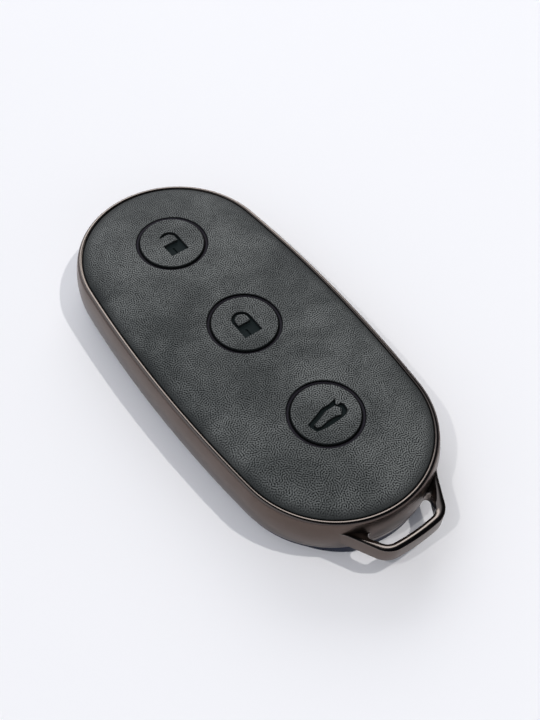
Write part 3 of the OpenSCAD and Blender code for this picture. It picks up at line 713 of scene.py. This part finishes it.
def roundedPlate(loops, low, top, rounds):
    # top face between the loops, each loop's edge rolled over and carried down, then a flat underside; the first
    # loop is the outside, the others are holes. Both flat faces are triangulated, and triangles in holes left out
    points, faces, rings, total = [], [], [], 0
    for index, loop in enumerate(loops):
        loop = anticlockwise(np.asarray(loop, float))
        sign, radius = (1, rounds[0]) if index == 0 else (-1, rounds[1])
        rows = [np.column_stack([innerOffset(loop, sign * radius * (1 - math.sin(t))),
                                 np.full(len(loop), top - radius * (1 - math.cos(t)))])
                for t in np.linspace(0, math.pi / 2, keyDiscs["rollRows"])]
        rows = np.array(rows + [np.column_stack([loop, np.full(len(loop), low)])])
        grid = gridFaces(len(rows), len(loop), False, True) + total
        faces += [list(q) for q in (grid if index == 0 else grid[:, ::-1])]
        rings.append((total, total + (len(rows) - 1) * len(loop), len(loop)))
        points.append(rows.reshape(-1, 3))
        total += rows.shape[0] * rows.shape[1]
    points = np.concatenate(points)
    for level, flip in ((0, False), (1, True)):
        index = np.concatenate([np.arange(r[level], r[level] + r[2]) for r in rings])
        edges, start = [], 0
        for r in rings:
            edges += [(start + j, start + (j + 1) % r[2]) for j in range(r[2])]
            start += r[2]
        flat = points[index, :2]
        out = geometry.delaunay_2d_cdt([Vector(p) for p in flat], edges, [], 1, 1e-7)
        back = [o[0] for o in out[3]]
        outside, *holes = (points[r[level]:r[level] + r[2], :2] for r in rings)
        for tri in out[2]:
            middle = np.mean([flat[back[v]] for v in tri], axis=0)
            if insideLoop(middle, outside) and not any(insideLoop(middle, hole) for hole in holes):
                tri = [int(index[back[v]]) for v in tri]
                faces.append(tri[::-1] if flip else tri)
    return points, faces


def insideLoop(point, loop):
    # even-odd rule: how many edges a ray to the right crosses
    x, y = loop.T
    x2, y2 = np.roll(x, -1), np.roll(y, -1)
    crosses = (y > point[1]) != (y2 > point[1])
    with np.errstate(divide="ignore", invalid="ignore"):
        at = x + (point[1] - y) * (x2 - x) / (y2 - y)
    return bool((crosses & (at > point[0])).sum() % 2)


def buildDisc(key, keyY, cutOut, islands):
    # a round plate less its cut-out, with the islands inside it as plates of their own
    k = keyDiscs
    rim = arcPoints(0, 0, k["radius"], 0, 360, k["rimPoints"] + 1)[:-1]
    solids = [roundedPlate([rim, cutOut], k["low"], k["top"], (k["round"], k["cutRound"]))]
    solids += [roundedPlate([island], k["low"], k["top"], (k["cutRound"], k["cutRound"])) for island in islands]
    points, faces = joinParts(solids)
    piece = newPiece(key + "Disc", points + [0, keyY, 0], faces, key + "_key", faceLeatherMat, "grained_leather",
                     [key + "_disc"])
    mergeMesh(piece.data, 1e-6, 50)
    return piece


print("stage: key discs")
carCut = (np.array(carOutline) * keyDiscs["car"], [np.array(carCabin) * keyDiscs["car"]])
pictograms = (padlockContours(True), padlockContours(False), carCut)
discs = [buildDisc(key, y, *cut) for key, y, cut in zip(keyNames, keyRows, pictograms)]

bead = {  # "out" and "in" are distances out from the widest line
    "out": -1.38, "in": -1.8, "low": 9.42, "top": 10.96, "chamfer": 0.05, "chamferDrop": 0.06,
}


def buildBead():
    # a strip with two chamfers, swept once round in the gap between the frame and the leather
    b, drop = bead, bead["top"] - bead["chamferDrop"]
    section = np.array([[b["out"], b["low"]], [b["out"], drop], [b["out"] - b["chamfer"], b["top"]],
                        [b["in"] + b["chamfer"], b["top"]], [b["in"], drop], [b["in"], b["low"]]])
    angle = outlineAngles()
    return newPiece("gapBead", roundSweep(section, angle), gridFaces(len(angle), len(section), True, True),
                    "front_half", beadMat, "black_bead", ["edge_bead"])


lipShape = {  # sweep in degrees each way; "eye" and "blend" are shares of it
    "sweep": 66, "wide": 1.85, "deep": 1.6, "chamfer": 0.2, "low": 0.15, "top": 2.6, "back": -2.2,
    "middle": 0.6, "eye": 0.26, "blend": 0.1, "turns": 61,
}


def buildRearLip():
    # dark piece of the rear half under the frame's near end, in two swells beside the tongue: inset = wide - deep *
    # (1 - turn^2)^2 * beside, with turn as a share of the lip's half sweep; beside falls from 1 to "middle" within the
    # key loop's eye
    k, c = lipShape, lipShape["chamfer"]
    turn = np.linspace(-1, 1, k["turns"])
    angle = 1.5 * math.pi + turn * math.radians(k["sweep"])
    beside = k["middle"] + (1 - k["middle"]) * np.clip((np.abs(turn) - k["eye"]) / k["blend"], 0, 1)
    out = -(k["wide"] - k["deep"] * (1 - turn ** 2) ** 2 * beside)
    back = np.full(len(turn), k["back"])
    up = np.array([k["low"], k["low"] + c, k["top"], k["top"], k["low"]])
    across = np.stack([out - c, out, out, back, back], 1)
    section = np.stack([across, np.broadcast_to(up, across.shape)], -1)
    piece = newPiece("rearLip", roundSweep(section, angle), cappedFaces(len(angle), len(up)), "rear_half", rearMat,
                     "rear_plastic")
    mergeMesh(piece.data)
    return piece


domeShape = {  # radii of the foot and the top, thickness, chamfer of the edges, and how far a key goes down
    "foot": 6.4, "top": 5.2, "thick": 0.45, "round": 0.06, "travel": 0.5, "turns": 96,
}


def buildDome(key, keyY):
    # a thin silicone cone turned about the key's axis
    k = domeShape
    low, high = (corner[2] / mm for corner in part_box(key + "_dome"))
    wide, narrow, thin, c = k["foot"], k["top"], k["thick"], k["round"]
    section = np.array([[wide - thin, low + c], [wide - thin + c, low], [wide - c, low], [wide, low + c],
                        [narrow, high - c], [narrow - c, high], [narrow - thin + c, high], [narrow - thin, high - c]])
    angle = np.linspace(0, 2 * math.pi, k["turns"], endpoint=False)[:, None]
    reach, up = section.T
    points = np.stack([reach * np.cos(angle), keyY + reach * np.sin(angle), up + 0 * angle], -1)
    piece = newPiece(key + "DomeSkin", points, gridFaces(k["turns"], len(section), True, True), "front_half",
                     siliconeMat, "silicone", [key + "_dome"])
    mergeMesh(piece.data, 1e-7)
    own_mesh(piece)
    return piece


plates = {  # inset of the edge, underside, top face, and the round of the edge
    "back": (4.1, 0.0, 0.7, 0.35), "floor": (3.4, 1.8, 2.3, 0.2), "inmost": 14.0, "rings": 16, "edgeRows": 6,
}


def buildPlate(name, shape, body, material, slot, node):
    # rings of the outline at growing insets, over both faces and the rolled edge, closed by a strip along the middle
    inset, low, top, radius = shape
    angle = outlineAngles()
    turn = np.linspace(0, math.pi / 2, plates["edgeRows"])
    steps = np.linspace(radius, plates["inmost"], plates["rings"])[1:]
    upper = [(-inset - radius * (1 - math.sin(t)), top - radius * (1 - math.cos(t))) for t in turn][::-1]
    lower = [(-inset - radius * (1 - math.sin(t)), low + radius * (1 - math.cos(t))) for t in turn]
    section = np.array([(-inset - s, low) for s in steps[::-1]] + lower + upper + [(-inset - s, top) for s in steps])
    points = roundSweep(section, angle)
    rows, columns = points.shape[:2]
    faces = [list(q) for q in gridFaces(rows, columns, True, False)]
    x, y = points[:, 0, :2].T
    right = np.array([r for r in range(rows) if math.cos(angle[r]) > 1e-9])
    right = right[np.argsort(y[right])]
    partner = np.array([int(np.argmin(np.hypot(x + x[r], y - y[r]))) for r in right])  # mirrored points
    ends = [int(np.argmin(y)), int(np.argmax(y))]
    for column, flip in ((0, True), (columns - 1, False)):
        for a, b, c, d in zip(right[:-1], right[1:], partner[1:], partner[:-1]):
            face = [int(v) * columns + column for v in (a, b, c, d)]
            faces.append(face[::-1] if flip else face)
        for corners in ((ends[0], right[0], partner[0]), (right[-1], ends[1], partner[-1])):
            face = [int(v) * columns + column for v in corners]
            faces.append(face[::-1] if flip else face)
    piece = newPiece(name, points, faces, body, material, slot, [node])
    mergeMesh(piece.data, 1e-6, 60)
    return piece


pads = {  # "in" is the wall's inset, "at" the middle of a pad along the cover, "power" how square its edges are
    "in": 3.3, "thick": 0.6, "low": 2.3, "top": 5.3, "long": 7.5, "at": 8.531, "power": 0.35, "turns": 40, "rows": 17,
}


def buildPads():
    # four soft strips against the rear wall, each a superellipsoid with its middle bent along the side arc:
    # (long, tall, thick) = sign * |cos v cos u, cos v sin u, sin v|^power
    k, parts = pads, []
    u = np.linspace(0, 2 * math.pi, k["turns"], endpoint=False)
    v = np.linspace(-math.pi / 2, math.pi / 2, k["rows"])
    waves = np.cos(u), np.sin(u), np.cos(v), np.sin(v)
    cosU, sinU, cosV, sinV = (np.sign(wave) * np.abs(wave) ** k["power"] for wave in waves)
    along, tall = cosV[:, None] * cosU[None, :], cosV[:, None] * sinU[None, :]
    thick = np.broadcast_to(sinV[:, None], along.shape)
    for sx in (-1, 1):
        for sy in (-1, 1):
            y = sy * k["at"] + along * k["long"] / 2
            wall = np.sqrt((outline["sideRadius"] - k["in"]) ** 2 - y ** 2) - outline["sideX"]
            x = sx * (wall - k["thick"] / 2 * (1 - thick))
            z = (k["low"] + k["top"]) / 2 + tall * (k["top"] - k["low"]) / 2
            parts.append((np.stack([x, y, z], -1).reshape(-1, 3), gridFaces(len(v), len(u), False, True)))
    piece = newPiece("sidePads", *joinParts(parts), "rear_half", liningMat, "soft_lining", ["side_pads"])
    mergeMesh(piece.data, 1e-5, 60)
    return piece


roof = {  # "hole" is the half width of the gap for the keypad, "depth" the distance below the crowned face
    "in": 3.3, "hole": 9.57, "depth": 1.9, "thick": 0.5, "rings": 22,
}


def buildRoof():
    # soft lining under the carrier: straight rays from the keypad's edge to the outline, set on the crowned underside:
    # point = hole + part * (outline - hole)
    k = roof
    angle = outlineAngles()
    c, s = np.cos(angle), np.sin(angle)
    x, y, radius = outlineArcs(angle)
    outX, outY = x + (radius - k["in"]) * c, y + (radius - k["in"]) * s
    high, low = keyRows[0], keyRows[-1]
    side = np.abs(s) < math.sin(lean) - 1e-9
    share = (np.clip(outY / outline["endY"], -1, 1) + 1) / 2
    holeX = np.where(side, np.sign(c) * k["hole"], k["hole"] * c)
    holeY = np.where(side, low + share * (high - low), np.where(s > 0, high, low) + k["hole"] * s)
    part = np.linspace(0, 1, k["rings"])[None, :]
    px, py = holeX[:, None] + part * (outX - holeX)[:, None], holeY[:, None] + part * (outY - holeY)[:, None]
    points = np.stack([px, py, crownAt(px, py, k["depth"])], -1)
    piece = newPiece("roofLining", points, gridFaces(len(angle), k["rings"], True, False), "front_half", liningMat,
                     "soft_lining", ["front_liner"])
    mergeMesh(piece.data, 1e-6, outward=False)
    thicken(piece, k["thick"])
    return piece


print("stage: trims and linings")
gapBead = buildBead()
rearLip = buildRearLip()
leatherBack = buildPlate("leatherBack", plates["back"], "rear_half", backLeatherMat, "back_leather", "rear_leather")
floorLining = buildPlate("floorLining", plates["floor"], "rear_half", liningMat, "soft_lining", "rear_liner")
sidePads = buildPads()
domes = [buildDome(key, y) for key, y in zip(keyNames, keyRows)]
roofLining = buildRoof()

print("stage: studio")
studio = {  # the floor's tones, sides, and noise (scale, detail); the room's tones, and where and how far it is dark
    "floor": (0.925, 0.92, 0.935, 1), "floorDrift": (0.94, 0.93, 0.945, 1), "floorSides": (-1.6, 1.6),
    "floorNoise": (3.0, 4.0), "dark": (0.01, 0.011, 0.014, 1), "bright": (0.6, 0.635, 0.71, 1),
    "flag": (0.39, -0.2, 0.9), "flagEdge": (0.6, 0.84),
}
floorMesh = bpy.data.meshes.new("floor")
floorMesh.from_pydata([(x, y, 0.0) for y in studio["floorSides"] for x in studio["floorSides"]], [], [(0, 1, 3, 2)])
floor = bpy.data.objects.new("floor", floorMesh)
scene.collection.objects.link(floor)
floorMat, floorTree, floorShader, floorPlace = newMaterial("paleFloor", {"Roughness": 0.75, "Specular IOR Level": 0.25})
paper = noiseAt(floorTree, floorPlace, *studio["floorNoise"])
floorTone = mixColour(floorTree, paper.outputs["Fac"], studio["floor"], studio["floorDrift"])
floorTree.links.new(floorTone, floorShader.inputs["Base Color"])
floorMesh.materials.append(floorMat)

lights = {  # direction that the light comes from (azimuth, elevation), distance, width, height, watts, colour
    "softbox": (60, 32, 0.9, 0.85, 0.5, 2.8, (1, 1, 1)),
    "rightKey": (-45, 67, 0.9, 0.02, 0.02, 2.3, (1, 0.98, 0.95)),
    "leftKey": (-174, 58, 0.9, 0.02, 0.02, 1.2, (1, 0.98, 0.95)),
    "ceiling": (0, 90, 1.2, 1.6, 1.6, 2.4, (0.97, 0.985, 1)),
}
for name, (azimuth, elevation, away, wide, tall, watts, colour) in lights.items():
    turn, lift = math.radians(azimuth), math.radians(elevation)
    at = Vector((math.cos(turn) * math.cos(lift), math.sin(turn) * math.cos(lift), math.sin(lift))) * away
    lamp = bpy.data.lights.new(name, "AREA")
    lamp.shape, lamp.size, lamp.size_y, lamp.energy, lamp.color = "RECTANGLE", wide, tall, watts, colour
    holder = bpy.data.objects.new(name, lamp)
    holder.location = at
    holder.rotation_euler = at.to_track_quat("Z", "Y").to_euler()
    holder.visible_glossy = name == "softbox"  # the others only light the floor and cast shadows
    scene.collection.objects.link(holder)
world = bpy.data.worlds.new("studio")
world.use_nodes = True
tree = world.node_tree
background = next(n for n in tree.nodes if n.type == "BACKGROUND")
look = addNode(tree, "ShaderNodeTexCoord")
toward = vectorNode(tree, "DOT_PRODUCT", look.outputs["Generated"], studio["flag"])
flag = ramp(tree, toward.outputs["Value"], *studio["flagEdge"])
tree.links.new(mixColour(tree, flag, studio["bright"], studio["dark"]), background.inputs["Color"])
scene.world = world

view = {  # the photograph's camera, fitted to the outline and the three keys
    "place": (-0.0724045, -0.0948521, 0.1680264), "lens": 52.021,
    "right": (0.8031048, -0.5947396, 0.036157), "down": (-0.4647454, -0.6632314, -0.586631),
    "forward": (0.3728732, 0.4543224, -0.8090468),
}
camera = bpy.data.cameras.new("camera")
camera.lens, camera.sensor_width, camera.sensor_fit = view["lens"], 36.0, "AUTO"
camera.clip_start = 0.01
eye = bpy.data.objects.new("camera", camera)
right, down, forward = (Vector(view[k]) for k in ("right", "down", "forward"))
eye.matrix_world = Matrix.Translation(view["place"]) @ Matrix((right, -down, -forward)).transposed().to_4x4()
scene.collection.objects.link(eye)
scene.camera = eye
scene.view_settings.view_transform = "Standard"

print("stage: done")
